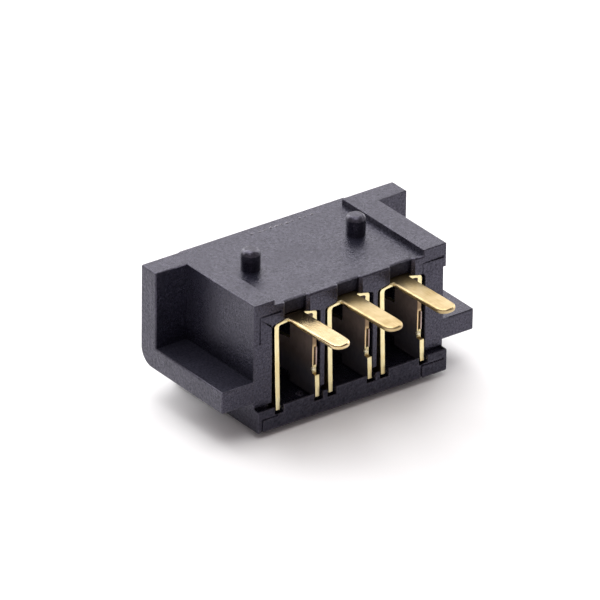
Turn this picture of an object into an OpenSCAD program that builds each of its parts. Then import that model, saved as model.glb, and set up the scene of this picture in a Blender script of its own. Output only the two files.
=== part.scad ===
// Laptop battery connector: a moulded housing that holds a row of bent sheet contacts.
// +X runs along the row, +Y points to the mating side, +Z is up, with the locating pegs on top.
// The origin is on the base, under the middle contact, in the plane of the rear wall.

/* [Contact sheet] */
// Distance from one contact to the next
pitch = 2.5; // [2.45:0.05:4]
// Thickness of the contact sheet
sheet_t = 0.21; // [0.16:0.01:0.24]
// Width of a contact across the outside of its legs
contact_w = 2.08; // [1.8:0.01:2.15]
// Height of the contact's top plate above the base
plate_z = 4.43; // [4.1:0.01:6]
// Thickness of the plate between its bends
plate_t = 0.17; // [0.13:0.01:0.18]
// Width of the plate's flat crown
crown_w = 0.9; // [0.86:0.02:1.1]
// Fall of the plate's upper face from the crown to a bend, in degrees
shoulder_out = 13.5; // [8:0.5:18]
// Fall of the plate's lower face, in degrees
shoulder_in = 6; // [2:0.5:8]
// Outer radius of the bend between the plate and a leg
bend_r = 0.14; // [0.1:0.01:0.2]
// Inner radius of that bend
bend_in_r = 0.1; // [0.06:0.01:0.14]
// Depth of the channel that the plate and the legs make
channel_d = 1.55; // [1.2:0.05:2]
// How far the legs' rear edges lean out at the foot
lean = 0.13; // [0.05:0.01:0.16]
// Drop from the plate to the upper end of that lean
lean_drop = 0.6; // [0.5:0.05:1]

/* [Solder tail] */
// Width of the solder tail
tail_w = 0.84; // [0.5:0.02:0.84]
// Length of the solder tail behind the rear wall
tail_l = 3.06; // [1:0.02:5]
// Slope at which the tail rises towards its tip, in degrees
tail_rise = 1.4; // [0.5:0.1:3]
// Radius of the two corners at the tail's tip
tail_r = 0.38; // [0.1:0.02:0.4]

/* [Spring beams] */
// Height of the beams' lower edge above the base
beam_z = 1.05; // [1:0.05:1.3]
// Height of a beam from its lower to its upper edge
beam_h = 1.45; // [1:0.05:2]
// Gap between the two beams where they grip a blade
grip_gap = 0.3; // [0.2:0.05:0.6]
// Distance from the beams' tips back to the grip
grip_back = 0.5; // [0.3:0.05:0.8]
// How far each beam turns outwards again at its tip
tip_flare = 0.3; // [0.1:0.05:0.4]

/* [Stepped leg] */
// Height of the right leg's lower part, whose rear edge is flush with the rear wall
step_z = 1.6; // [1.3:0.01:1.65]
// How far the right leg's rear edge is set in above that part
edge_back = 0.1; // [0.08:0.01:0.14]
// Thickness of the thin outer lip that is split from the set-in edge
lip_t = 0.07; // [0.04:0.01:0.08]
// How far the lip's own edge is set in
lip_back = 0.06; // [0.03:0.01:0.07]
// Height of the lip's lower end above the base
lip_z = 1.94; // [1.9:0.01:2.3]
// Length of the lip
lip_l = 0.8; // [0.4:0.05:1]
// Width of the split between the lip and the edge
split_w = 0.07; // [0.03:0.01:0.07]
// Depth of the split from the rear wall
split_d = 0.16; // [0.15:0.01:0.3]
// Radius of the bead where the lower part ends
bead_r = 0.1; // [0.06:0.01:0.12]

/* [Housing body] */
// Thickness of the end walls outside the outer cavities
end_wall = 0.86; // [0.6:0.01:1.5]
// Depth from the rear wall to the front of the ears
body_d = 5.29; // [4.6:0.01:8]
// Thickness of the roof between the cavities and the top panel
roof_t = 0.68; // [0.5:0.01:1.2]
// Depth of the top panel below the two bars beside it
panel_drop = 0.25; // [0.1:0.01:0.4]
// Width of each bar beside the top panel
bar_w = 0.97; // [0.6:0.01:1.2]
// Thickness of the floor under the cavities
floor_t = 0.6; // [0.55:0.01:0.8]
// Reach of the nose in front of the ears
nose_d = 0.42; // [0.1:0.01:1]
// Thickness of the wall in front of the cavities
front_wall = 0.9; // [0.6:0.05:1.3]

/* [Ears] */
// Reach of each ear beyond the end of the body
ear_l = 1.49; // [0.5:0.01:3]
// Thickness of the upright part of an ear
ear_t = 0.94; // [0.6:0.01:1.5]
// Height of the shelf's underside above the base
shelf_z = 1.22; // [1.1:0.01:2]
// Thickness of the shelf
shelf_t = 0.91; // [0.5:0.01:1.4]
// Radius of the ear's lower front corner
ear_r = 0.7; // [0.2:0.05:0.9]

/* [Pegs] */
// Diameter of a locating peg
peg_d = 0.78; // [0.5:0.01:1.2]
// Height of a peg above the top panel
peg_h = 0.85; // [0.5:0.01:2]
// Radius of the round edge at a peg's top
peg_round = 0.2; // [0.05:0.01:0.24]
// Distance of the pegs from the rear wall
peg_y = 3; // [1.5:0.05:3.8]

/* [Rear wall] */
// Reach of the sill behind the rear wall
sill_d = 0.3; // [0.1:0.01:0.6]
// Height of the sill above the base
sill_h = 0.94; // [0.85:0.01:0.99]
// Width of the clearance slot in the roof's edge above each tail
slot_w = 1; // [0.85:0.05:1.3]
// Depth of that slot at the top panel
slot_top_d = 0.15; // [0.05:0.01:0.2]
// Depth of that slot at the cavity
slot_low_d = 0.3; // [0.2:0.01:0.5]
// Size of the bevels where that slot meets the rear wall
slot_bevel = 0.1; // [0.04:0.01:0.14]
// Thickness of the lip left between the groove along the sill and its rear face
sill_lip = 0.1; // [0.06:0.01:0.2]
// How far the groove along the sill is sunk below its top
groove_sink = 0.18; // [0.05:0.01:0.2]
// Height of the groove above the sill, where it undercuts the rear wall
groove_h = 0.06; // [0.03:0.01:0.2]
// Depth of that undercut
groove_d = 0.2; // [0.05:0.01:0.3]
// How far the groove is sunk past the last contact, where it is shallower
end_sink = 0.08; // [0.04:0.01:0.12]
// Depth of the undercut there
end_groove_d = 0.06; // [0.03:0.01:0.1]
// Thickness of the wall that closes the groove at each end
groove_end = 0.07; // [0.05:0.01:0.2]
// Width of the border left outside the sunk field on each end wall
border_w = 0.22; // [0.1:0.01:0.3]
// Drop from the top of the bars to the sunk fields
field_top = 0.51; // [0.45:0.01:0.7]
// Height of each sunk field, over which it runs out
field_h = 1.8; // [1:0.05:2.5]
// Width of each sunk field, over which it runs out too
field_w = 0.95; // [0.6:0.05:1]
// Depth of the sunk fields at their upper left corner
field_d = 0.06; // [0.03:0.01:0.1]
// Width of the fine lines that are cut beside the fields and in the sill
line_w = 0.1; // [0.03:0.01:0.12]
// Depth of those lines
line_d = 0.07; // [0.03:0.01:0.08]
// Length of the upright line beside each field
line_l = 1.2; // [0.5:0.1:2]
// Height of the level lines in the sill above the base
sill_line_z = 0.62; // [0.61:0.01:0.7]
// Distance of the lines in the sill from its ends
sill_border = 0.15; // [0.1:0.01:0.3]
// Reach of the right bar's outer side beyond the end wall under it
cap_out = 0.12; // [0.04:0.01:0.2]
// Height of that outer side
end_cap_h = 1.02; // [0.7:0.01:1.3]

/* [Blade slots] */
// Width of the slot that each mating blade enters
blade_slot_w = 0.7; // [0.5:0.05:0.9]
// Reach of each blade slot above and below the beams
blade_over = 0.3; // [0.1:0.05:0.35]
// Size of the lead-in round each blade slot
lead_in = 0.22; // [0.05:0.01:0.3]

/* [Fits] */
// Clearance between a contact's legs and the sides of its cavity
contact_gap = 0.1; // [0.03:0.01:0.1]
// Clearance between a contact's plate and the roof of its cavity
plate_gap = 0.03; // [0.02:0.01:0.06]
// Clearance to the left of a leg in its notch in the sill
notch_left = 0.16; // [0.05:0.01:0.18]
// Clearance to the right of a leg in its notch
notch_right = 0.05; // [0.03:0.01:0.18]
// Clearance between a leg's foot and the floor of its cavity
foot_gap = 0.06; // [0.03:0.01:0.1]
// Thickness left under the pit behind each notch
pit_floor = 0.25; // [0.1:0.01:0.3]
// Clearance between the beams' tips and the front wall
tip_gap = 0.15; // [0.1:0.01:0.3]

/* [Hidden] */
ways = 3;
$fn = 48;
// Cuts run this far past the faces that they open
over = 1;
beam_steps = 24;
// Step over which the slope of a beam is taken
slope_step = 0.001;
half_w = contact_w / 2;
leg_in = half_w - sheet_t;
cavity_w = contact_w + 2 * contact_gap;
cavity_top = plate_z + plate_gap;
panel_z = cavity_top + roof_t;
body_h = panel_z + panel_drop;
body_l = (ways - 1) * pitch + cavity_w + 2 * end_wall;
panel_w = body_l - 2 * bar_w;
full_l = body_l + 2 * ear_l;
nose_y = body_d + nose_d;
cavity_front = nose_y - front_wall;
tip_y = cavity_front - tip_gap;
grip_y = tip_y - grip_back;
grip_x = (grip_gap + sheet_t) / 2;
leg_x = half_w - sheet_t / 2;
foot_z = floor_t + foot_gap;
// Largest corner radius at the tail's tip, as a share of its width
tip_share = 0.46;
tip_r = min(tail_r, tip_share * tail_w);

// Place of contact i along the row, counted from 1
function contact_x(i) = (i - (ways + 1) / 2) * pitch;

// Middle line of a beam: straight from the leg, eased in to the grip, then turned out along a parabola
function beam_x(y) =
    y < channel_d ? leg_x
    : y < grip_y ? leg_x + (grip_x - leg_x) * (1 - cos(180 * (y - channel_d) / (grip_y - channel_d))) / 2
    : grip_x + tip_flare * pow((y - grip_y) / grip_back, 2);

// Slope of that line, and the point beside it at half the sheet's thickness
function beam_slope(y) = (beam_x(y + slope_step) - beam_x(y - slope_step)) / (2 * slope_step);
function beam_side(y, side) =
    [beam_x(y), y] + side * sheet_t / 2 * [1, -beam_slope(y)] / sqrt(1 + pow(beam_slope(y), 2));

// A box from its low corner to its high corner
module block(low, high) {
    translate(low)
        cube(high - low);
}

// An outline drawn as depth and height, pulled along X between two ends
module along_x(x0, x1) {
    translate([x0, 0, 0])
        rotate([90, 0, 90])
            linear_extrude(x1 - x0)
                children();
}

// An outline drawn as width and height, pulled along Y between two ends
module along_y(y0, y1) {
    translate([0, y1, 0])
        rotate([90, 0, 0])
            linear_extrude(y1 - y0)
                children();
}

// Filled arch: straight sides up to two round corners, then shoulders that rise at a slope to a flat crown
module arch(half, foot, top, r, slope) {
    corner = [half - r, top - (half - r - crown_w / 2) * tan(slope) - r / cos(slope)];
    meet = corner + r * [sin(slope), cos(slope)];
    polygon([
        [-half, foot],
        [half, foot],
        [half, corner.y],
        meet,
        [crown_w / 2, top],
        [-crown_w / 2, top],
        [-meet.x, meet.y],
        [-half, corner.y]
    ]);
    for (side = [-1, 1])
        translate([side * corner.x, corner.y])
            circle(r);
}

// Section of the bent sheet: the plate, its two bends and its two legs
module channel_section() {
    difference() {
        arch(half_w, foot_z, plate_z, bend_r, shoulder_out);
        arch(leg_in, foot_z - over, plate_z - plate_t, bend_in_r, shoulder_in);
    }
}

// Wedge behind the right leg, which leans its rear edge out towards the foot
module leg_lean() {
    top = plate_z - lean_drop;
    along_x(leg_in, half_w)
        polygon([[0, top], [-lean, foot_z], [sheet_t, foot_z], [sheet_t, top]]);
}

// Flat tail that carries on from the plate, rises a little and has two round corners at its tip
module tail() {
    translate([0, 0, plate_z])
        rotate([-tail_rise, 0, 0])
            translate([0, 0, -sheet_t])
                linear_extrude(sheet_t) {
                    translate([-tail_w / 2, tip_r - tail_l])
                        square([tail_w, tail_l - tip_r + sheet_t]);
                    translate([tip_r - tail_w / 2, -tail_l])
                        square([tail_w - 2 * tip_r, tail_l]);
                    for (side = [-1, 1])
                        translate([side * (tail_w / 2 - tip_r), tip_r - tail_l])
                            circle(tip_r);
                }
}

// One spring beam, from inside the right leg to its flared tip
module beam() {
    start_y = channel_d - sheet_t;
    root = [[leg_in, channel_d], [leg_in, start_y], [half_w, start_y], [half_w, channel_d]];
    ys = [for (k = [1:beam_steps]) channel_d + (tip_y - channel_d) * k / beam_steps];
    outer = [for (y = ys) beam_side(y, 1)];
    inner = [for (k = [beam_steps - 1:-1:0]) beam_side(ys[k], -1)];
    translate([0, 0, beam_z])
        linear_extrude(beam_h)
            polygon(concat(root, outer, inner));
}

// What is cut from the right side of the channel: its rear edge is set in, with a split beside the lip
module edge_cuts() {
    lip_x = half_w - lip_t;
    top = plate_z + over;
    lip_top = lip_z + lip_l;
    block([tail_w / 2, -over, step_z], [half_w + over, lip_back, top]);
    block([tail_w / 2, -over, step_z], [lip_x, edge_back, top]);
    block([tail_w / 2, -over, step_z], [half_w + over, edge_back, lip_z]);
    block([tail_w / 2, -over, lip_top], [half_w + over, edge_back, top]);
    block([lip_x - split_w, -over, lip_z], [lip_x, split_d, lip_top]);
}

// Bead left on the set-in edge, just above the lower part of the leg
module bead() {
    translate([leg_in + sheet_t / 4, edge_back, step_z + 2 * bead_r])
        sphere(bead_r);
}

module contact(i) {
    color("goldenrod")
        translate([contact_x(i), 0, 0]) {
            difference() {
                union() {
                    along_y(0, channel_d)
                        channel_section();
                    for (side = [0, 1])
                        mirror([side, 0, 0])
                            leg_lean();
                }
                edge_cuts();
            }
            bead();
            tail();
            beam();
            mirror([1, 0, 0])
                beam();
        }
}

// End outline of the ears: an upright and a shelf that meet in a round lower front corner
module ear_outline() {
    difference() {
        union() {
            translate([body_d - ear_t, shelf_z])
                square([ear_t, body_h - shelf_z]);
            translate([0, shelf_z])
                square([body_d, shelf_t]);
        }
        difference() {
            translate([body_d - ear_r, shelf_z - over])
                square([ear_r + over, ear_r + over]);
            translate([body_d - ear_r, shelf_z + ear_r])
                circle(ear_r);
        }
    }
}

// Peg turned about its own axis: a straight side and a round upper edge
module peg() {
    foot = panel_z - roof_t / 2;
    top = panel_z + peg_h;
    r = peg_d / 2;
    rotate_extrude() {
        translate([0, foot])
            square([r, top - peg_round - foot]);
        translate([0, foot])
            square([r - peg_round, top - foot]);
        translate([r - peg_round, top - peg_round])
            intersection() {
                circle(peg_round);
                square(peg_round);
            }
    }
}

// Outside of the housing, with the top panel sunk between the bars
module shell() {
    difference() {
        union() {
            block([-body_l / 2, 0, 0], [body_l / 2, body_d, body_h]);
            block([-body_l / 2, -sill_d, 0], [body_l / 2, over, sill_h]);
            block([0, 0, body_h - end_cap_h], [body_l / 2 + cap_out, body_d - ear_t / 2, body_h]);
            along_x(-full_l / 2, full_l / 2)
                ear_outline();
        }
        block([-panel_w / 2, -over, panel_z], [panel_w / 2, body_d + over, body_h + over]);
    }
    block([-panel_w / 2, body_d - front_wall, 0], [panel_w / 2, nose_y, panel_z]);
    for (i = [1, ways])
        translate([contact_x(i), peg_y, 0])
            peg();
}

// Room for one contact, open to the rear above the sill, with a notch and a pit in the sill for each leg
module cavity() {
    half = cavity_w / 2;
    along_y(0, cavity_front)
        arch(half, floor_t, cavity_top, bend_r, shoulder_out);
    along_y(-over, over)
        arch(half, sill_h, cavity_top, bend_r, shoulder_out);
    for (side = [-1, 1]) {
        x0 = side * leg_x - sheet_t / 2 - notch_left;
        x1 = side * leg_x + sheet_t / 2 + notch_right;
        block([x0, -over, floor_t], [x1, groove_d, sill_h + groove_h]);
        block([x0, sill_lip - sill_d, pit_floor], [x1, groove_d, sill_h]);
    }
}

// Slot in the roof's rear edge above one tail, deeper towards the cavity, with bevels at its sides
module roof_slot() {
    along_x(-slot_w / 2, slot_w / 2)
        polygon([
            [-over, panel_z + panel_drop],
            [slot_top_d, panel_z + panel_drop],
            [slot_top_d, panel_z],
            [slot_low_d, plate_z],
            [-over, plate_z]
        ]);
    translate([0, 0, plate_z])
        linear_extrude(body_h - plate_z)
            polygon([
                [-slot_w / 2 - slot_bevel, 0],
                [-slot_w / 2, slot_bevel],
                [slot_w / 2, slot_bevel],
                [slot_w / 2 + slot_bevel, 0],
                [slot_w / 2 + slot_bevel, -over],
                [-slot_w / 2 - slot_bevel, -over]
            ]);
}

// Blade slot through the front wall, with a lead-in on all four sides
module blade_slot() {
    half = blade_slot_w / 2;
    low = beam_z - blade_over;
    high = beam_z + beam_h + blade_over;
    block([-half, cavity_front - tip_gap, low], [half, nose_y + over, high]);
    intersection() {
        translate([0, 0, low - lead_in])
            linear_extrude(high - low + 2 * lead_in)
                polygon([
                    [-half, nose_y - lead_in],
                    [half, nose_y - lead_in],
                    [half + 2 * lead_in, nose_y + lead_in],
                    [-half - 2 * lead_in, nose_y + lead_in]
                ]);
        along_x(-half - 2 * lead_in, half + 2 * lead_in)
            polygon([
                [nose_y - lead_in, low],
                [nose_y - lead_in, high],
                [nose_y + lead_in, high + 2 * lead_in],
                [nose_y + lead_in, low - 2 * lead_in]
            ]);
    }
}

// Groove along the sill that undercuts the rear wall and its ribs, shallower past the last contact
module sill_groove() {
    half = body_l / 2 - groove_end;
    rear = sill_lip - sill_d;
    top = sill_h + groove_h;
    block([-half, rear, sill_h - groove_sink], [contact_x(ways) + half_w, groove_d, top]);
    block([contact_x(ways), rear, sill_h - end_sink], [half, end_groove_d, top]);
}

// Two fine lines cut in a rear face from one corner: one straight down and one level to the right
module corner_lines(corner, down, right) {
    block(corner - [0, over, down], corner + [line_w, line_d, 0]);
    block(corner - [0, over, line_w], corner + [right, line_d, 0]);
}

// Sunk field on the rear of an end wall, which runs out downwards and to the right, and its lines
module end_field(left) {
    corner = [left, 0, body_h - field_top];
    intersection() {
        along_x(corner.x, corner.x + field_w)
            polygon([
                [-over, corner.z],
                [field_d, corner.z],
                [0, corner.z - field_h],
                [-over, corner.z - field_h]
            ]);
        translate([0, 0, corner.z - field_h])
            linear_extrude(field_h)
                polygon([
                    [corner.x, -over],
                    [corner.x, field_d],
                    [corner.x + field_w, 0],
                    [corner.x + field_w, -over]
                ]);
    }
    corner_lines(corner, line_l, field_w + border_w / 2);
}

// Lines in the rear of the sill, outside the first contact and under the last one's right leg
module sill_lines() {
    left = sill_border - body_l / 2;
    under = contact_x(ways) + leg_in - line_w;
    corner_lines([left, -sill_d, sill_line_z], sill_line_z + over, contact_x(1) - half_w - left);
    corner_lines([under, -sill_d, sill_line_z], sill_line_z + over, -left - under);
}

module housing() {
    color("#26262b")
        difference() {
            shell();
            for (i = [1:ways])
                translate([contact_x(i), 0, 0]) {
                    cavity();
                    roof_slot();
                    blade_slot();
                }
            end_field(border_w - body_l / 2);
            end_field(body_l / 2 + cap_out - border_w - field_w);
            sill_lines();
            sill_groove();
        }
}

housing();
for (i = [1:ways])
    contact(i);
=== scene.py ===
import math

import bmesh
import bpy
import numpy as np
from mathutils import Matrix, Vector


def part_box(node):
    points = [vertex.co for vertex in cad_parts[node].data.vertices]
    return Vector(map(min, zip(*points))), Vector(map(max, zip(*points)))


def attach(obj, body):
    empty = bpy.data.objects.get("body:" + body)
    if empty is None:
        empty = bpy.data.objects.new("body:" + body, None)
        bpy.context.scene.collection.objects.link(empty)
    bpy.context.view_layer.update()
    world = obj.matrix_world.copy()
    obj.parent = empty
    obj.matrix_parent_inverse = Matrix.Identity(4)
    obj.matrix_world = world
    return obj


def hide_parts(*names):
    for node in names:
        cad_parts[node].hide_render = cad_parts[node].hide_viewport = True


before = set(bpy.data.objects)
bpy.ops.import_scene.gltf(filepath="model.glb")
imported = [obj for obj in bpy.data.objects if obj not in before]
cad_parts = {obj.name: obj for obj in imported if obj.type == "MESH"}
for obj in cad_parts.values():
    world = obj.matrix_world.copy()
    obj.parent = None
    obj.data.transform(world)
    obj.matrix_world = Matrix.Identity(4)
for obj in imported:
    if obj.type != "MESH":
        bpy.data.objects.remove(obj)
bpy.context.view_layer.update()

MM = 0.001
BODY = "root"
CONTACTS = ("contact_1", "contact_2", "contact_3")
GLOSSY_CONTACT = "contact_1"


def corners_mm(node):
    """Lowest and highest corner of a CAD node, in millimetres."""
    return [np.round(np.array(corner) / MM, 4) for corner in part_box(node)]


# Camera: where it aims in the part's frame, how far off it stands, how it is turned and slid sideways
AIM_MM = (0.0793, 2.5, 3.1)
AZIMUTH_DEG, ELEVATION_DEG, ROLL_DEG = -36.779, 27.957, 0.72
DISTANCE_MM = 400.0
SLIDE_MM = (0.46, -0.094)
LENS_MM, SENSOR_MM = 626.06, 36.0
NEAR_CLIP_MM, FAR_CLIP_MM = 10.0, 10000.0

# Floor: a little under the part's flat base, so that a soft shadow shows between them
FLOOR_GAP_MM, FLOOR_HALF_MM = 0.22, 1000.0

# Light of the room, and softboxes that face the part: place, width and height, radiance, tint
ROOM_TINT, ROOM_STRENGTH = (1.0, 0.86, 0.88), 0.21
LIGHT_AIM_MM = (0, 2.5, 3)
WHITE, ROSE = (1.0, 1.0, 1.0), (1.0, 0.88, 0.89)
SOFTBOXES = {
    "back_softbox": ((170, 230, 170), (420, 260), 1.2, WHITE),
    "right_softbox": ((330, 60, 110), (300, 220), 2.7, WHITE),
    "front_softbox": ((-60, 330, 140), (300, 220), 4.3, WHITE),
    "top_softbox": ((-20, 20, 340), (300, 300), 2.7, WHITE),
    "high_softbox": ((60, 200, 300), (300, 300), 1.85, WHITE),
    "camera_softbox": ((-220, -300, 200), (300, 220), 0.7, ROSE),
}

# Welding of the CAD meshes: faces that turn by less than FLAT_DEG become one
WELD_MM, FLAT_DEG = 0.0001, 0.4

# Rounding of the edges that turn by more than SHARP_DEG: its widths, and the share of the room that it takes
SHARP_DEG, ROUND_STEPS, ROOM_SHARE = 24.0, 3, 0.42
ROUND_MM = {"mould": 0.04, "ear": 0.06, "foot": 0.08, "panel": 0.09, "sheet": 0.03, "tail": 0.085}
WIDEST_MM = max(ROUND_MM.values())

# Lines across a face on which the room beside an edge is measured, and lengths in metres that count as
# endless, as lying on the edge and as nothing
ROOM_LINES = (0.1, 0.5, 0.9)
ENDLESS_M, ON_EDGE_M, NOTHING_M = 1.0, 1e-9, 1e-12

# How near a place counts as being there, and how far a normal has to lie along an axis to face it
SAME_MM = 0.02
SQUARELY, LEANING, HALFWAY = 0.9, 0.6, 0.5

# Faces of the housing that finishes and small pieces refer to
HOUSING_LOW_MM, HOUSING_HIGH_MM = corners_mm("housing")
SILL_REAR_MM, NOSE_FRONT_MM = HOUSING_LOW_MM[1], HOUSING_HIGH_MM[1]
PANEL_Z_MM, PANEL_REAR_MM = 5.14, 0.7
PEG_SHOULDER_MM = 5.78
SHELF_TOP_MM = 2.13
SLOT_LOW_MM, SLOT_REAR_MM = 4.5, 0.05
CAVITY_FLOOR_MM = 0.6
BODY_END_MM = 4.65
NOSE_END_MM, NOSE_BACK_MM = 3.53, 5.2

# Places on a contact, with X measured from its middle
LEG_INSIDE_MM, LEG_FROM_MM = 0.83, 0.4
REAR_EDGE_MM, TAIL_EDGE_MM = 0.25, -0.3
TAIL_START_MM = -0.2
BEAM_START_MM = 1.5
LIP_MM, LIP_GAP_MM = 0.06, 0.14
BEAD_MM, BEAD_REACH_MM = (0.884, 0.1, 1.8), 0.13
# Height band of the right leg's edge colours, with the tail's shadow painted near its top
LEG_BAND_LOW_MM, LEG_BAND_HIGH_MM = 1.6, 3.6
# Height band over which the channel's inside goes from painted shade at the foot to its own dull colour
CHANNEL_SHADE_LOW_MM, CHANNEL_SHADE_HIGH_MM = 1.5, 2.8

# Painted line of shade under the right shelf's edge, drawn by cutting the sheen: its height, how far it stays
# under the shelf's top, and the share of the sheen that is left at the edge
SHADE_LINE_MM, SHADE_LINE_CLEAR_MM, SHADE_LINE_SHEEN = 0.12, 0.001, 0.05

# The nose's ends past the panel: how far they reach, how round they are, how high they start and how deep
# they are sunk in the nose
NOSE_MORE_MM, NOSE_ROUND_MM, NOSE_FOOT_MM, NOSE_SUNK_MM = 0.42, 0.04, 0.005, 0.06
NOSE_STEPS = 32

# Torn ridge: its two ends along X, how far beyond them it would thin to nothing, and the length over which
# it thins towards each
RIDGE_FROM_MM, RIDGE_TO_MM, RIDGE_STUB_MM = -0.97, 2.3, 0.02
RIDGE_THIN_FROM_MM, RIDGE_THIN_TO_MM = 0.1, 0.15
RIDGE_ROWS, RIDGE_STEPS = 329, 14

# Torn ridge's middle line, how far it is sunk, and its waves: width, radians to the millimetre, start
RIDGE_Y_MM, RIDGE_SUNK_MM = 5.25, 0.012
RIDGE_WAVES = ((0.018, 5.1, 0.0), (0.012, 12.7, 1.0))

# Torn ridge's radius between lumps, what a lump of height one adds to it, and its lumps: place along X, half
# width, height
RIDGE_BASE_MM, RIDGE_LUMP_MM = 0.010, 0.042
RIDGE_LUMPS = (
    (-0.78, 0.05, 1.0), (-0.42, 0.07, 0.5), (-0.2, 0.06, 0.7), (0.12, 0.05, 1.2), (0.38, 0.09, 0.8),
    (0.62, 0.05, 0.6), (0.86, 0.08, 0.9), (1.12, 0.06, 0.7), (1.5, 0.06, 0.8), (1.74, 0.07, 0.6),
    (2.06, 0.05, 1.1),
)

# Mould pin's ring: its middle, its radius, the half width and half height of its oval section, and how much
# and from where on the way round the height swells
RING_X_MM, RING_Y_MM, RING_RADIUS_MM = -1.9, 0.55, 0.115
RING_HALF_MM, RING_HIGH_MM = 0.055, 0.05
RING_SWELL, RING_SWELL_START = 0.15, 0.6
RING_ROWS, RING_STEPS = 48, 16

# Places of the finishes in the housing's and the contacts' lists of materials
PLAIN, RUBBED, TORN, SCUFFED_AND_SHADED, DULL = range(5)
FACE, EDGE, INSIDE, STRIP, LEG_EDGE, BEAD = range(6)

# Plastic: where its three tones lie in the noise, and how it reflects
PLASTIC_STOPS = (0.3, 0.52, 0.72)
PLASTIC_IOR, PLASTIC_TINT = 1.62, (0.79, 0.745, 1.0, 1)

# Gold: where its three tones lie in the noise
GOLD_STOPS = (0.32, 0.5, 0.7)


def camera_axes():
    """Right, up and backward unit vectors: a turn about Z, a tilt above the floor, then a roll in the
    picture."""
    a, e, r = (math.radians(v) for v in (AZIMUTH_DEG, ELEVATION_DEG, ROLL_DEG))
    back = np.array([math.sin(a) * math.cos(e), -math.cos(a) * math.cos(e), math.sin(e)])
    level = np.array([math.cos(a), math.sin(a), 0.0])
    rise = np.cross(back, level)
    right = level * math.cos(r) + rise * math.sin(r)
    up = rise * math.cos(r) - level * math.sin(r)
    return right, up, back


def set_camera():
    """Camera that sees the part as the photograph does."""
    right, up, back = camera_axes()
    eye = np.array(AIM_MM) + back * DISTANCE_MM - right * SLIDE_MM[0] - up * SLIDE_MM[1]
    data = bpy.data.cameras.new("photo_camera")
    data.sensor_fit = "HORIZONTAL"
    data.sensor_width = SENSOR_MM
    data.lens = LENS_MM
    data.clip_start = NEAR_CLIP_MM * MM
    data.clip_end = FAR_CLIP_MM * MM
    camera = bpy.data.objects.new("photo_camera", data)
    bpy.context.scene.collection.objects.link(camera)
    turn = Matrix(np.column_stack([right, up, back]).tolist()).to_4x4()
    camera.matrix_world = Matrix.Translation(Vector((eye * MM).tolist())) @ turn
    bpy.context.scene.camera = camera


def welded(node):
    """Points and triangles of a CAD node, with all corners that share a place made one point."""
    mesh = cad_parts[node].data
    places = np.empty(len(mesh.vertices) * 3, np.float32)
    mesh.vertices.foreach_get("co", places)
    mesh.calc_loop_triangles()
    corners = np.empty(len(mesh.loop_triangles) * 3, np.int32)
    mesh.loop_triangles.foreach_get("vertices", corners)
    keys = np.round(places.reshape(-1, 3) / (WELD_MM * MM)).astype(np.int64)
    _, first, shared = np.unique(keys, axis=0, return_index=True, return_inverse=True)
    points = places.reshape(-1, 3)[first]
    triangles = shared.reshape(-1)[corners].reshape(-1, 3)
    whole = (triangles[:, 0] != triangles[:, 1]) & (triangles[:, 1] != triangles[:, 2])
    whole &= triangles[:, 0] != triangles[:, 2]
    return points, triangles[whole]


def room_beside(loop):
    """Least distance in metres from an edge across its face to the next edge that isn't flat, on a few lines
    square to the edge."""
    start = np.array(loop.vert.co)
    along = np.array(loop.link_loop_next.vert.co) - start
    unit = along / np.linalg.norm(along)
    inward = np.cross(np.array(loop.face.normal), unit)
    flat = math.radians(FLAT_DEG)
    others = [e for e in loop.face.edges if e is not loop.edge and e.calc_face_angle(0.0) > flat]
    if not others:
        return ENDLESS_M
    a = np.array([e.verts[0].co for e in others])
    b = np.array([e.verts[1].co for e in others])
    least = ENDLESS_M
    for share in ROOM_LINES:
        foot = start + along * share
        ax, ay = (a - foot) @ unit, (a - foot) @ inward
        bx, by = (b - foot) @ unit, (b - foot) @ inward
        crosses = (ax * bx < 0) & (np.abs(bx - ax) > NOTHING_M)
        far = np.where(crosses, ay - ax * (by - ay) / np.where(crosses, bx - ax, 1.0), ENDLESS_M)
        far = far[far > ON_EDGE_M]
        if len(far):
            least = min(least, far.min())
    return least


def weigh_edges(shape, widths):
    """Gives each sharp convex edge its share of the widest rounding: the width that widths asks for at its
    middle, or less where its faces are too narrow. Other sharp edges, and those of no width, stay sharp."""
    weights = shape.edges.layers.float.new("bevel_weight_edge")
    for edge in shape.edges:
        if len(edge.link_loops) != 2 or edge.calc_face_angle(0.0) < math.radians(SHARP_DEG):
            continue
        edge.smooth = False
        width = widths(np.array((edge.verts[0].co + edge.verts[1].co) / 2) / MM)
        if not edge.is_convex or not width:
            continue
        room = min(room_beside(loop) for loop in edge.link_loops) / MM
        edge[weights] = min(width, ROOM_SHARE * room) / WIDEST_MM
        edge.smooth = True


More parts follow.
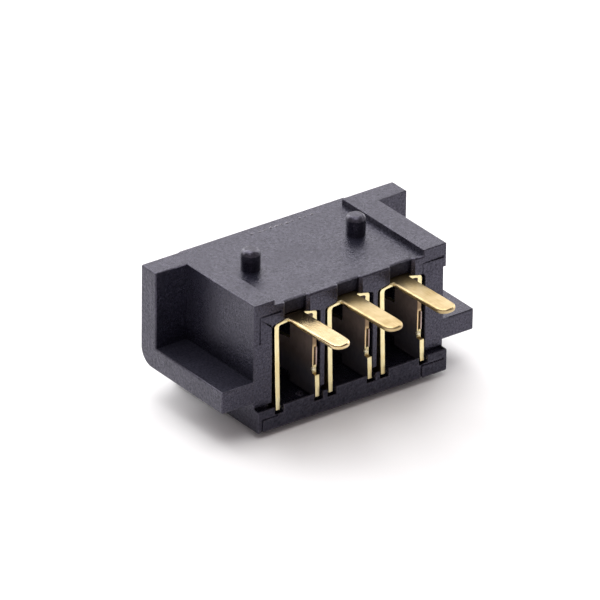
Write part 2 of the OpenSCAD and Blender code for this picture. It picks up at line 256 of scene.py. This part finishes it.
def rounded_copy(node, name, materials, widths, finish, edge_finish=-1):
    """Copy of a CAD node with its outer edges rounded. Triangles in one plane become one face, then each
    convex edge gets the width that widths gives it. finish gives each face its material from the arrays of
    face middles and normals, and edge_finish is the material of the rounded edges."""
    points, triangles = welded(node)
    mesh = bpy.data.meshes.new(name)
    mesh.from_pydata(points.tolist(), [], triangles.tolist())
    shape = bmesh.new()
    shape.from_mesh(mesh)
    flat = math.radians(FLAT_DEG)
    bmesh.ops.dissolve_limit(shape, angle_limit=flat, verts=shape.verts, edges=shape.edges)
    weigh_edges(shape, widths)
    shape.to_mesh(mesh)
    shape.free()
    count = len(mesh.polygons)
    mesh.polygons.foreach_set("use_smooth", np.ones(count, bool))
    middles, normals = np.empty(count * 3), np.empty(count * 3)
    mesh.polygons.foreach_get("center", middles)
    mesh.polygons.foreach_get("normal", normals)
    for material in materials:
        mesh.materials.append(material)
    kinds = finish(middles.reshape(-1, 3) / MM, normals.reshape(-1, 3))
    mesh.polygons.foreach_set("material_index", kinds)
    piece = bpy.data.objects.new(name, mesh)
    bpy.context.scene.collection.objects.link(piece)
    bevel = piece.modifiers.new("round_edges", "BEVEL")
    bevel.limit_method = "WEIGHT"
    bevel.width = WIDEST_MM * MM
    bevel.segments = ROUND_STEPS
    bevel.use_clamp_overlap = False
    bevel.harden_normals = True
    bevel.material = edge_finish
    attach(piece, BODY)
    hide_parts(node)
    return piece


class Finish:
    """A node material in the making: short ways to add nodes, link them and read the piece's own
    coordinates."""

    def __init__(self, name):
        self.material = bpy.data.materials.new(name)
        self.material.use_nodes = True
        self.tree = self.material.node_tree
        self.shader = self.tree.nodes["Principled BSDF"]
        self.place = self.add("ShaderNodeTexCoord").outputs["Object"]

    def add(self, kind, **settings):
        node = self.tree.nodes.new(kind)
        for key, value in settings.items():
            setattr(node, key, value)
        return node

    def link(self, source, target):
        self.tree.links.new(source, target)

    def along(self, axis):
        """The piece's own coordinate along one axis, in metres."""
        split = self.add("ShaderNodeSeparateXYZ")
        self.link(self.place, split.inputs["Vector"])
        return split.outputs[axis]

    def grain(self, size_mm, detail=2.0, rough=0.5, stretch=(1, 1, 1), warp=0.0):
        """Noise whose lumps are about size_mm across, drawn out along an axis where stretch is above one."""
        mapping = self.add("ShaderNodeMapping")
        self.link(self.place, mapping.inputs["Vector"])
        mapping.inputs["Scale"].default_value = tuple(1 / s for s in stretch)
        noise = self.add("ShaderNodeTexNoise")
        noise.inputs["Scale"].default_value = 1 / (size_mm * MM)
        noise.inputs["Detail"].default_value = detail
        noise.inputs["Roughness"].default_value = rough
        noise.inputs["Distortion"].default_value = warp
        self.link(mapping.outputs["Vector"], noise.inputs["Vector"])
        return noise.outputs["Fac"]

    def ramp(self, value, stops):
        """Colour that runs through the stops, each a position and a colour, as the value goes from 0 to
        1."""
        node = self.add("ShaderNodeValToRGB")
        elements = node.color_ramp.elements
        while len(elements) < len(stops):
            elements.new(0.5)
        for element, (position, colour) in zip(elements, stops):
            element.position = position
            element.color = (*colour, 1)
        self.link(value, node.inputs["Fac"])
        return node.outputs["Color"]

    def spread(self, value, low, high, start=0.3, end=0.7):
        """Number that goes from low to high as the value goes from start to end, and stays there beyond."""
        node = self.add("ShaderNodeMapRange")
        self.link(value, node.inputs["Value"])
        for key, number in (("From Min", start), ("From Max", end), ("To Min", low), ("To Max", high)):
            node.inputs[key].default_value = number
        return node.outputs["Result"]

    def sums(self, kind, a, b):
        """Result of one arithmetic step on two values, each a number or a node's output."""
        node = self.add("ShaderNodeMath", operation=kind)
        for socket, value in zip(node.inputs, (a, b)):
            if isinstance(value, (int, float)):
                socket.default_value = value
            else:
                self.link(value, socket)
        return node.outputs["Value"]

    def blend(self, a, b, share):
        """Weighted sum of two values, with share as the weight of the first."""
        return self.sums("ADD", self.sums("MULTIPLY", a, share), self.sums("MULTIPLY", b, 1 - share))

    def bumps(self, height, depth_mm, strength, below=None):
        """Normal tilted by the height, on top of the bumps below it where there are any."""
        node = self.add("ShaderNodeBump")
        node.inputs["Strength"].default_value = strength
        node.inputs["Distance"].default_value = depth_mm * MM
        self.link(height, node.inputs["Height"])
        if below is not None:
            self.link(below, node.inputs["Normal"])
        return node.outputs["Normal"]

    def wear(self, **sockets):
        """Links or sets the shader's sockets, whichever each value asks for."""
        for key, value in sockets.items():
            socket = self.shader.inputs[key.replace("_", " ")]
            if isinstance(value, bpy.types.NodeSocket):
                self.link(value, socket)
            else:
                socket.default_value = value
        return self.material


def painted_shade_share(f):
    """Share of the sheen that is left: little just under the right shelf's edge, where it paints a line of
    shade, all of it elsewhere.
    """
    height = f.along("Z")
    rise = f.spread(height, 1.0, SHADE_LINE_SHEEN, (SHELF_TOP_MM - SHADE_LINE_MM) * MM, SHELF_TOP_MM * MM)
    above = f.sums("GREATER_THAN", height, (SHELF_TOP_MM - SHADE_LINE_CLEAR_MM) * MM)
    inside = f.sums("LESS_THAN", f.along("X"), (BODY_END_MM + SHADE_LINE_MM) * MM)
    return f.sums("MAXIMUM", rise, f.sums("MAXIMUM", above, inside))


def charcoal(name, tones, gloss, relief_mm, sheen=(0.24, 0.76), speck_mm=0.13, shade_line=False):
    """Glass-filled nylon as moulded: a fine spark-eroded grain, cloudy gloss and small pale specks. tones
    are the dark, middle and pale colours, gloss the roughness of the dullest and the shiniest spots, sheen
    the weakest and strongest reflection of the specks, and relief_mm and speck_mm the height and width of
    the lumps. shade_line cuts the sheen in a painted line of shade under the edge of the right shelf."""
    f = Finish(name)
    fine = f.grain(size_mm=0.06, detail=3.0, rough=0.65)
    cloud = f.grain(size_mm=1.1, detail=3.0, rough=0.55, warp=0.4)
    speck = f.grain(speck_mm, detail=1.5)
    tone = f.blend(fine, cloud, share=0.55)
    colour = f.ramp(tone, list(zip(PLASTIC_STOPS, tones)))
    shine = f.spread(tone, *gloss)
    bump = f.bumps(fine, depth_mm=0.016, strength=0.7)
    bump = f.bumps(speck, relief_mm, strength=0.3, below=bump)
    glint = f.spread(f.grain(size_mm=0.085, detail=2.0, rough=0.6), *sheen)
    # Painted shade: the sheen is cut to a dark line under the right shelf's edge
    if shade_line:
        glint = f.sums("MULTIPLY", glint, painted_shade_share(f))
    return f.wear(Base_Color=colour, Roughness=shine, Normal=bump, IOR=PLASTIC_IOR,
                  Specular_IOR_Level=glint, Specular_Tint=PLASTIC_TINT)


def charcoal_plastic():
    """The moulding's own plastic, with a painted line of shade under the right shelf's edge."""
    tones = ((0.0045, 0.0046, 0.0085), (0.0090, 0.0091, 0.0160), (0.0225, 0.0222, 0.0340))
    return charcoal("charcoal_plastic", tones, gloss=(0.38, 0.19), relief_mm=0.05, shade_line=True)


def rubbed_edge():
    """The same plastic where handling has rubbed its edges: paler, with more uneven gloss."""
    tones = ((0.0090, 0.0088, 0.0125), (0.0190, 0.0182, 0.0240), (0.0500, 0.0480, 0.0600))
    return charcoal("rubbed_edge", tones, gloss=(0.46, 0.20), relief_mm=0.036)


def peg_tip():
    """Top of a peg, where the plastic tore as it left the mould: pale, rough and lumpy."""
    tones = ((0.0120, 0.0116, 0.0160), (0.0260, 0.0250, 0.0320), (0.0700, 0.0680, 0.0800))
    return charcoal("peg_tip", tones, gloss=(0.5, 0.22), relief_mm=0.3, speck_mm=0.36)


def scuffed_and_shaded_shelf():
    """Left shelf's top or slot wall: a dull, blotchy face whose weak sheen paints the shade that falls there.
    """
    tones = ((0.0055, 0.0056, 0.0100), (0.0100, 0.0101, 0.0175), (0.0240, 0.0237, 0.0350))
    return charcoal("scuffed_and_shaded_shelf", tones, gloss=(0.75, 0.5), relief_mm=0.05, sheen=(0.05, 0.35))


def dull_sill():
    """Rear of the sill, darker and with weaker sheen than the plain plastic: painted shade for the shadowed
    floor it mirrors.
    """
    tones = ((0.0045, 0.0046, 0.0085), (0.0080, 0.0081, 0.0150), (0.0180, 0.0178, 0.0270))
    return charcoal("dull_sill", tones, gloss=(0.5, 0.3), relief_mm=0.05, sheen=(0.12, 0.5))


def torn_flash():
    """Flash torn at the joint: plastic whitened by the strain, in pale and dark shreds."""
    tones = ((0.06, 0.058, 0.064), (0.20, 0.194, 0.202), (0.42, 0.41, 0.415))
    return charcoal("torn_flash", tones, gloss=(0.5, 0.25), relief_mm=0.05)


def gold(name, tones, gloss):
    """Gold plating over rolled sheet: fine rolling lines along the tail and faint cloudy warmth. tones are
    the dark, middle and pale colours, and gloss the roughness of the dullest and the shiniest spots."""
    f = Finish(name)
    lines = f.grain(size_mm=0.05, detail=3.0, rough=0.6, stretch=(1, 9, 1))
    cloud = f.grain(size_mm=0.6, detail=2.0, warp=0.5)
    tone = f.blend(lines, cloud, share=0.4)
    colour = f.ramp(tone, list(zip(GOLD_STOPS, tones)))
    shine = f.spread(tone, *gloss)
    bump = f.bumps(lines, depth_mm=0.010, strength=0.4)
    return f.wear(Base_Color=colour, Roughness=shine, Normal=bump, Metallic=1.0)


def gold_face():
    """Flat of the sheet: pale plating, a little dull."""
    tones = ((0.40, 0.29, 0.13), (0.525, 0.405, 0.215), (0.61, 0.49, 0.29))
    return gold("gold_face", tones, gloss=(0.42, 0.28))


def glossy_face():
    """Flat of the first contact's sheet, plated more smoothly: it mirrors the dark slot at the root of its
    tail."""
    tones = ((0.53, 0.39, 0.18), (0.67, 0.52, 0.29), (0.76, 0.62, 0.38))
    return gold("glossy_face", tones, gloss=(0.23, 0.15))


def gold_edge():
    """Sheared edge of the sheet, which shows a fuller, brighter gold; on the beams' tops it is also a painted
    highlight.
    """
    tones = ((0.92, 0.74, 0.36), (0.97, 0.84, 0.48), (1.0, 0.90, 0.57))
    return gold("gold_edge", tones, gloss=(0.42, 0.30))


def bare_strip():
    """Right half of the split lip, where the plating is rubbed through to brown metal."""
    tones = ((0.34, 0.245, 0.215), (0.49, 0.375, 0.34), (0.58, 0.455, 0.41))
    return gold("bare_strip", tones, gloss=(0.50, 0.35))


def bead_painted_highlight():
    """Bead under the split lip, in near-white gold that paints its highlight."""
    tones = ((0.97, 0.85, 0.54), (1.0, 0.92, 0.64), (1.0, 0.96, 0.74))
    return gold("bead_painted_highlight", tones, gloss=(0.48, 0.38))


def leg_edge_tail_shadow():
    """Sheared edge of the right leg: full gold at the foot and on top, orange along the split lip and
    brown above it, under the tail, as a painted shadow of the tail."""
    f = Finish("leg_edge_tail_shadow")
    lines = f.grain(size_mm=0.05, detail=3.0, rough=0.6, stretch=(1, 1, 4))
    rise = f.spread(f.along("Z"), 0.0, 1.0, LEG_BAND_LOW_MM * MM, LEG_BAND_HIGH_MM * MM)
    tone = f.sums("ADD", rise, f.sums("MULTIPLY", lines, 0.08))
    # brown is the painted shadow that the tail casts on the leg's edge
    full, orange, brown = (0.97, 0.84, 0.48), (0.84, 0.62, 0.34), (0.26, 0.18, 0.11)
    stops = [(0.2, full), (0.26, orange), (0.58, orange), (0.68, brown), (0.82, brown), (0.94, full)]
    colour = f.ramp(tone, stops)
    shine = f.spread(lines, 0.45, 0.32)
    bump = f.bumps(lines, depth_mm=0.008, strength=0.35)
    return f.wear(Base_Color=colour, Roughness=shine, Normal=bump, Metallic=1.0)


def dull_gold():
    """Inside of the channel: thin, dull plating over brown metal, with painted shade that darkens it towards
    the foot.
    """
    f = Finish("dull_gold")
    lines = f.grain(size_mm=0.09, detail=3.0, rough=0.6, stretch=(1, 2, 3))
    # Painted shade: the colour darkens towards the foot, deep in the channel
    rise = f.spread(f.along("Z"), 0.0, 0.8, CHANNEL_SHADE_LOW_MM * MM, CHANNEL_SHADE_HIGH_MM * MM)
    tone = f.sums("ADD", rise, f.sums("MULTIPLY", lines, 0.25))
    painted_deep_shade, brown, thin = (0.06, 0.058, 0.072), (0.105, 0.083, 0.076), (0.23, 0.18, 0.16)
    colour = f.ramp(tone, [(0.1, painted_deep_shade), (0.5, brown), (0.95, thin)])
    shine = f.spread(lines, 0.9, 0.75)
    bump = f.bumps(lines, depth_mm=0.004, strength=0.2)
    return f.wear(Base_Color=colour, Roughness=shine, Normal=bump, Metallic=0.4)


def floor_card():
    """White card, hardly cloudy."""
    f = Finish("floor_white")
    tone = f.grain(size_mm=40.0, detail=2.0)
    colour = f.ramp(tone, [(0.3, (0.885, 0.885, 0.89)), (0.7, (0.895, 0.895, 0.895))])
    return f.wear(Base_Color=colour, Roughness=0.85)


def soft_panel(name, place_mm, size_mm, radiance, tint):
    """Softbox that shines evenly and faces the part: its power is its radiance times its area times pi."""
    width_mm, height_mm = size_mm
    data = bpy.data.lights.new(name, "AREA")
    data.shape = "RECTANGLE"
    data.size = width_mm * MM
    data.size_y = height_mm * MM
    data.energy = radiance * math.pi * width_mm * height_mm * MM * MM
    data.color = tint
    lamp = bpy.data.objects.new(name, data)
    bpy.context.scene.collection.objects.link(lamp)
    place = Vector(place_mm) * MM
    lamp.location = place
    lamp.rotation_euler = (Vector(LIGHT_AIM_MM) * MM - place).to_track_quat("-Z", "Y").to_euler()


def light_room():
    """Even light from all around, and the softboxes."""
    world = bpy.data.worlds.new("room")
    bpy.context.scene.world = world
    world.use_nodes = True
    background = world.node_tree.nodes["Background"]
    background.inputs["Color"].default_value = (*ROOM_TINT, 1)
    background.inputs["Strength"].default_value = ROOM_STRENGTH
    for name, panel in SOFTBOXES.items():
        soft_panel(name, *panel)


def lay_floor():
    """Square white floor under the part."""
    half, z = FLOOR_HALF_MM * MM, -FLOOR_GAP_MM * MM
    corners = [(-half, -half, z), (half, -half, z), (half, half, z), (-half, half, z)]
    data = bpy.data.meshes.new("floor")
    data.from_pydata(corners, [], [(0, 1, 2, 3)])
    data.materials.append(floor_card())
    floor = bpy.data.objects.new("floor", data)
    bpy.context.scene.collection.objects.link(floor)


def surface_piece(name, grid, material, ring=False, smooth=True):
    """Closed piece from a grid of points in millimetres. Each row of the grid runs once around the piece and
    closes on itself. The rows come back to the first one in a ring, and else draw together in a point at
    both ends."""
    rows, columns = grid.shape[:2]
    points = grid.reshape(-1, 3)
    index = np.arange(rows * columns).reshape(rows, columns)
    index = np.concatenate([index, index[:, :1]], axis=1)
    if ring:
        index = np.concatenate([index, index[:1]], axis=0)
    quads = np.stack([index[:-1, :-1], index[:-1, 1:], index[1:, 1:], index[1:, :-1]], axis=-1)
    faces = quads.reshape(-1, 4).tolist()
    if not ring:
        points = np.concatenate([points, grid[[0, -1]].mean(axis=1)])
        tips = np.full((2, columns), rows * columns) + np.array([[0], [1]])
        faces += np.stack([tips[0], index[0, 1:], index[0, :-1]], axis=-1).tolist()
        faces += np.stack([tips[1], index[-1, :-1], index[-1, 1:]], axis=-1).tolist()
    mesh = bpy.data.meshes.new(name)
    mesh.from_pydata((points * MM).tolist(), [], faces)
    mesh.polygons.foreach_set("use_smooth", np.full(len(faces), smooth))
    mesh.materials.append(material)
    piece = bpy.data.objects.new(name, mesh)
    bpy.context.scene.collection.objects.link(piece)
    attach(piece, BODY)
    return piece


def nose_end(name, side, material):
    """End of the nose past the panel, on the side given by +1 or -1: an upright rectangle with round corners,
    carried along X from inside the nose to its end, with the last rows drawn in for a round end. Each corner
    is a quarter turn about a point one radius inside the rectangle's corner."""
    turn = np.linspace(0.0, 2 * np.pi, NOSE_STEPS, endpoint=False) + np.pi / NOSE_STEPS
    low, high = np.array([NOSE_BACK_MM, NOSE_FOOT_MM]), np.array([NOSE_FRONT_MM, PANEL_Z_MM])
    middle, half = (low + high) / 2, (high - low) / 2 - NOSE_ROUND_MM
    short_of_end = np.array([1.0, 0.3, 0.0]) * NOSE_ROUND_MM
    reach = np.concatenate([[-NOSE_SUNK_MM, 0.0], NOSE_MORE_MM - short_of_end])[:, None]
    radius = np.array([1.0, 1.0, 1.0, 0.7, 0.0])[:, None] * NOSE_ROUND_MM
    x = side * (NOSE_END_MM + reach) + 0 * turn
    y = middle[0] + np.sign(np.cos(turn)) * half[0] + radius * np.cos(turn)
    z = middle[1] + np.sign(np.sin(turn)) * half[1] + radius * np.sin(turn)
    grid = np.stack([x, y, z], axis=-1)
    return surface_piece(name, grid if side > 0 else grid[:, ::-1], material, smooth=False)


def witness_ridge(material):
    """Torn flash along the joint between body and nose: a thin round strand half sunk in the panel. Its
    radius is a row of bell-shaped lumps on a low base, its middle wanders with two sines, and it thins at
    both ends, where a point closes it."""
    place, half_width, height = np.array(RIDGE_LUMPS).T
    u = np.linspace(RIDGE_FROM_MM, RIDGE_TO_MM, RIDGE_ROWS)[:, None]
    turn = np.linspace(0.0, 2 * np.pi, RIDGE_STEPS, endpoint=False)[None, :]
    swell = (height * np.exp(-((u - place) / half_width) ** 2)).sum(axis=1, keepdims=True)
    fade = np.clip((u - RIDGE_FROM_MM + RIDGE_STUB_MM) / RIDGE_THIN_FROM_MM, 0, 1)
    fade = fade * np.clip((RIDGE_TO_MM + RIDGE_STUB_MM - u) / RIDGE_THIN_TO_MM, 0, 1)
    radius = (RIDGE_BASE_MM + RIDGE_LUMP_MM * swell) * fade
    wander = sum(width * np.sin(speed * u + start) for width, speed, start in RIDGE_WAVES)
    y = RIDGE_Y_MM + wander + radius * np.cos(turn)
    z = PANEL_Z_MM - RIDGE_SUNK_MM + radius * np.sin(turn)
    return surface_piece("witness_ridge", np.stack([u + 0 * turn, y, z], axis=-1), material)


def ejector_ring(material):
    """Ring that a mould pin left on the floor of the first cavity: an oval carried round a circle and half
    sunk in the floor, with a height that swells and falls twice on the way round."""
    turn = np.linspace(0.0, 2 * np.pi, RING_ROWS, endpoint=False)[:, None]
    around = np.linspace(2 * np.pi, 0.0, RING_STEPS, endpoint=False)[None, :]
    r = RING_RADIUS_MM + RING_HALF_MM * np.cos(around)
    high = RING_HIGH_MM * (1 + RING_SWELL * np.sin(2 * turn + RING_SWELL_START))
    x, y = RING_X_MM + r * np.cos(turn), RING_Y_MM + r * np.sin(turn)
    grid = np.stack([x, y, CAVITY_FLOOR_MM + high * np.sin(around)], axis=-1)
    return surface_piece("ejector_ring", grid, material, ring=True)


def mould_width(middle):
    """Rounding of the moulding's edge with the given middle: none on the rear edge of the right shelf."""
    x, y, z = middle
    rear = y < PANEL_REAR_MM
    if z < ROUND_MM["foot"]:
        return ROUND_MM["foot"]
    if rear and abs(z - PANEL_Z_MM) < SAME_MM:
        return ROUND_MM["panel"]
    if rear and abs(z - SHELF_TOP_MM) < SAME_MM and x > BODY_END_MM:
        return 0.0
    return ROUND_MM["ear"] if abs(x) > BODY_END_MM else ROUND_MM["mould"]


def sheet_width(middle):
    """Rounding of a contact's edge with the given middle: wide on the tail, narrow elsewhere."""
    return ROUND_MM["tail"] if middle[1] < TAIL_START_MM else ROUND_MM["sheet"]


def moulding_finish(middles, normals):
    """Torn finish on the peg tops, a dull blotchy one whose weak sheen paints shade on the left shelf and in
    the slots over the tails, a darker dull one that paints shade on the sill's rear, plain plastic elsewhere."""
    x, y, z = middles.T
    rearward, upward = normals[:, 1] < -SQUARELY, normals[:, 2] > SQUARELY
    # Only the left shelf, which lies in shade, gets the weak sheen of painted shade; the right one stays
    # plain
    shelf = upward & (np.abs(z - SHELF_TOP_MM) < SAME_MM) & (x < 0)
    slot = rearward & (y > SLOT_REAR_MM) & (z > SLOT_LOW_MM) & (np.abs(x) < NOSE_END_MM)
    # The sill's rear gets darker tones and weaker sheen as painted shade
    sill = rearward & (y < SILL_REAR_MM + SAME_MM)
    kinds = [z > PEG_SHOULDER_MM, shelf | slot, sill]
    return np.select(kinds, [TORN, SCUFFED_AND_SHADED, DULL], PLAIN).astype(np.int32)


def sheet_finish(contact):
    """Sheared gold on the rear edges and the beams' tops, a painted highlight on the beams, dull gold with
    painted shade towards the foot on the faces that look into the channel and in the split of the lip, gold
    with a painted shadow of the tail on the right leg's edge, bare metal on the lip's right half, near-white
    gold as a painted highlight on the bead, pale gold elsewhere."""
    low, high = corners_mm(contact)
    middle = np.array([(low[0] + high[0]) / 2, 0, 0])

    def finish(middles, normals):
        places = middles - middle
        x, y, z = places.T
        rearward = normals[:, 1] < -SQUARELY
        # Faces of the bead, which get the near-white gold of the painted highlight
        bead = np.linalg.norm(places - np.array(BEAD_MM), axis=1) < BEAD_REACH_MM
        leg = rearward & (x > LEG_FROM_MM) & (z > BEAD_MM[2])
        strip = leg & (y < LIP_MM + SAME_MM)
        gap = leg & (y > LIP_GAP_MM)
        inner = (np.abs(x) < LEG_INSIDE_MM + SAME_MM) & (y > SAME_MM)
        inward = (-np.sign(x) * normals[:, 0] > HALFWAY) | (normals[:, 2] < -HALFWAY)
        edge = (normals[:, 1] < -LEANING) & (y < REAR_EDGE_MM) & (y > TAIL_EDGE_MM)
        # The beams' tops take the bright edge gold as a painted highlight where they lie in shade
        edge |= (y > BEAM_START_MM) & (normals[:, 2] > HALFWAY)
        kinds = [bead, strip, gap | (inner & inward), leg, edge]
        return np.select(kinds, [BEAD, STRIP, INSIDE, LEG_EDGE, EDGE], FACE).astype(np.int32)
    return finish


bpy.context.scene.view_settings.view_transform = "Standard"
set_camera()
lay_floor()
light_room()

plastic, rubbed = charcoal_plastic(), rubbed_edge()
plastics = [plastic, rubbed, peg_tip(), scuffed_and_shaded_shelf(), dull_sill()]
housing = rounded_copy("housing", "housing_moulding", plastics, mould_width, moulding_finish, RUBBED)
housing_pieces = [housing, witness_ridge(torn_flash()), ejector_ring(rubbed)]
housing_pieces += [nose_end("nose_end_left", -1, plastic), nose_end("nose_end_right", 1, plastic)]

pale, glossy = gold_face(), glossy_face()
golds = [gold_edge(), dull_gold(), bare_strip(), leg_edge_tail_shadow(), bead_painted_highlight()]
for contact in CONTACTS:
    flat_gold = glossy if contact == GLOSSY_CONTACT else pale
    finishes = [flat_gold, *golds]
    sheet = rounded_copy(contact, contact + "_sheet", finishes, sheet_width, sheet_finish(contact))
